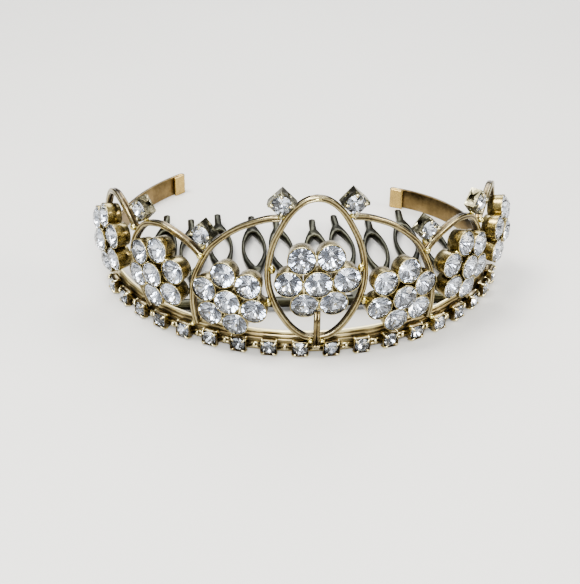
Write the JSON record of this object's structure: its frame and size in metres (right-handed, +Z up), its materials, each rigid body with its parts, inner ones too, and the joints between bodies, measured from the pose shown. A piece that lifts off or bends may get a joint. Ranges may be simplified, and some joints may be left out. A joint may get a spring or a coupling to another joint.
{
  "type": "tiara comb",
  "caption": "Horseshoe tiara on a comb: reeded base band with set stones, wire arches that carry round flower clusters and crest stones, and a flat comb of looped teeth inside.",
  "frame": {"origin": "centre of the bounding box on the plane of the band's lower edge", "axes": "+X along the width towards the straight arm's opposite side, where the arm is bent in; +Y from the front to the open back of the horseshoe; +Z up"},
  "size_m": [0.114, 0.1015, 0.0453],
  "materials": {
    "band_gold": "aged gilt, reeded, rubbed bright on the edges",
    "setting_gold": "pale gilt, slightly tarnished",
    "wire_gold": "pale champagne gilt, polished ridges",
    "cup_gold": "yellow gilt, polished rims",
    "crest_silver": "worn grey-green plating",
    "comb_metal": "dull olive-grey plating",
    "rhinestone": "clear cut glass, foiled back"
  },
  "bodies": {
    "root": {"base_band": "band_gold", "base_settings": "setting_gold", "base_stones": "rhinestone", "centre_loop": "wire_gold", "arch_right_1": "wire_gold", "arch_right_2": "wire_gold", "arch_right_3": "wire_gold", "arch_left_1": "wire_gold", "arch_left_2": "wire_gold", "arch_left_3": "wire_gold", "flower_cups_centre": "cup_gold", "flower_cups_right_1": "cup_gold", "flower_cups_right_2": "cup_gold", "flower_cups_right_3": "cup_gold", "flower_cups_left_1": "cup_gold", "flower_cups_left_2": "cup_gold", "flower_cups_left_3": "cup_gold", "flower_stones_centre": "rhinestone", "flower_stones_right_1": "rhinestone", "flower_stones_right_2": "rhinestone", "flower_stones_right_3": "rhinestone", "flower_stones_left_1": "rhinestone", "flower_stones_left_2": "rhinestone", "flower_stones_left_3": "rhinestone", "crest_setting_right_1": "crest_silver", "crest_setting_right_2": "crest_silver", "crest_setting_right_3": "crest_silver", "crest_setting_left_1": "crest_silver", "crest_setting_left_2": "crest_silver", "crest_setting_left_3": "crest_silver", "crest_stone_right_1": "rhinestone", "crest_stone_right_2": "rhinestone", "crest_stone_right_3": "rhinestone", "crest_stone_left_1": "rhinestone", "crest_stone_left_2": "rhinestone", "crest_stone_left_3": "rhinestone", "centre_post": "wire_gold", "comb": "comb_metal"}
  },
  "joints": []
}
